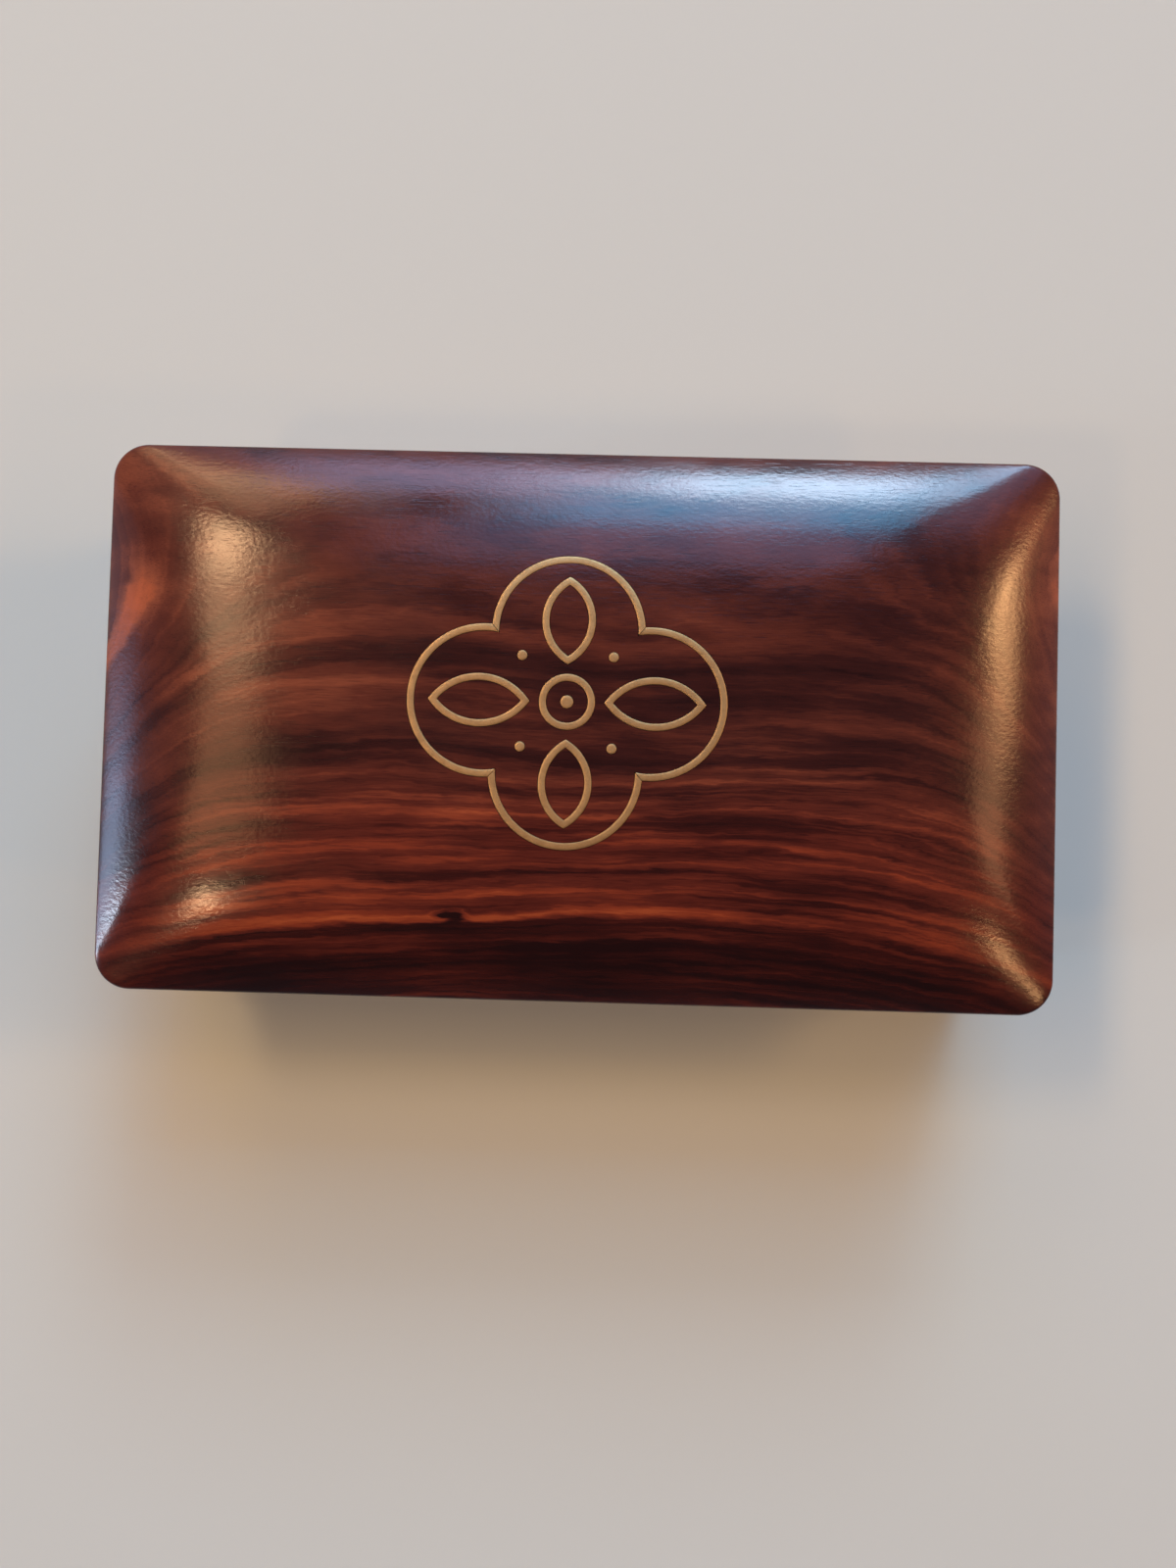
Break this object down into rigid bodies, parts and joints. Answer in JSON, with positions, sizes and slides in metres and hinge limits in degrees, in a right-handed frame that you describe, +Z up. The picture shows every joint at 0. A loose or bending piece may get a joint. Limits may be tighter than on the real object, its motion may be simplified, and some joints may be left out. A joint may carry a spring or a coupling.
{
  "type": "inlaid wooden box",
  "caption": "Rectangular rosewood box with a pillow-shaped lid on butt hinges and a brass wire medallion let into the lid.",
  "frame": {"origin": "under the middle of the closed box, on the surface that it stands on", "axes": "+X runs along the box to its right end, +Y to the hinged back, +Z up"},
  "size_m": [0.203, 0.117, 0.0514],
  "materials": {
    "rosewood": "hand-polished oil and wax, satin gloss",
    "panel_wood": "waxed",
    "spline_wood": "waxed",
    "inlay_brass": "rubbed flush, dulled",
    "hinge_brass": "aged satin",
    "pin_brass": "drawn wire",
    "screw_brass": "turned"
  },
  "bodies": {
    "box": {"front_wall": "rosewood", "back_wall": "rosewood", "left_wall": "rosewood", "right_wall": "rosewood", "bottom_panel": "panel_wood", "spline_front_left": "spline_wood", "spline_front_right": "spline_wood", "spline_back_left": "spline_wood", "spline_back_right": "spline_wood", "hinge_left_body_leaf": "hinge_brass", "hinge_right_body_leaf": "hinge_brass", "hinge_left_pin": "pin_brass", "hinge_right_pin": "pin_brass", "screw_body_left_left": "screw_brass", "screw_body_left_right": "screw_brass", "screw_body_right_left": "screw_brass", "screw_body_right_right": "screw_brass"},
    "lid": {"lid": "rosewood", "hinge_left_lid_leaf": "hinge_brass", "hinge_right_lid_leaf": "hinge_brass", "screw_lid_left_left": "screw_brass", "screw_lid_left_right": "screw_brass", "screw_lid_right_left": "screw_brass", "screw_lid_right_right": "screw_brass", "inlay_lobe_right": "inlay_brass", "inlay_lobe_back": "inlay_brass", "inlay_lobe_left": "inlay_brass", "inlay_lobe_front": "inlay_brass", "inlay_petal_right": "inlay_brass", "inlay_petal_back": "inlay_brass", "inlay_petal_left": "inlay_brass", "inlay_petal_front": "inlay_brass", "inlay_ring": "inlay_brass", "inlay_pin_centre": "inlay_brass", "inlay_pin_front_left": "inlay_brass", "inlay_pin_front_right": "inlay_brass", "inlay_pin_back_left": "inlay_brass", "inlay_pin_back_right": "inlay_brass"}
  },
  "joints": [
    {"name": "lid_hinge", "type": "hinge", "parent": "box", "child": "lid", "pos_m": [0, 0.054, 0.03615], "axis": [-1, 0, 0], "range_deg": [0, 100]}
  ]
}
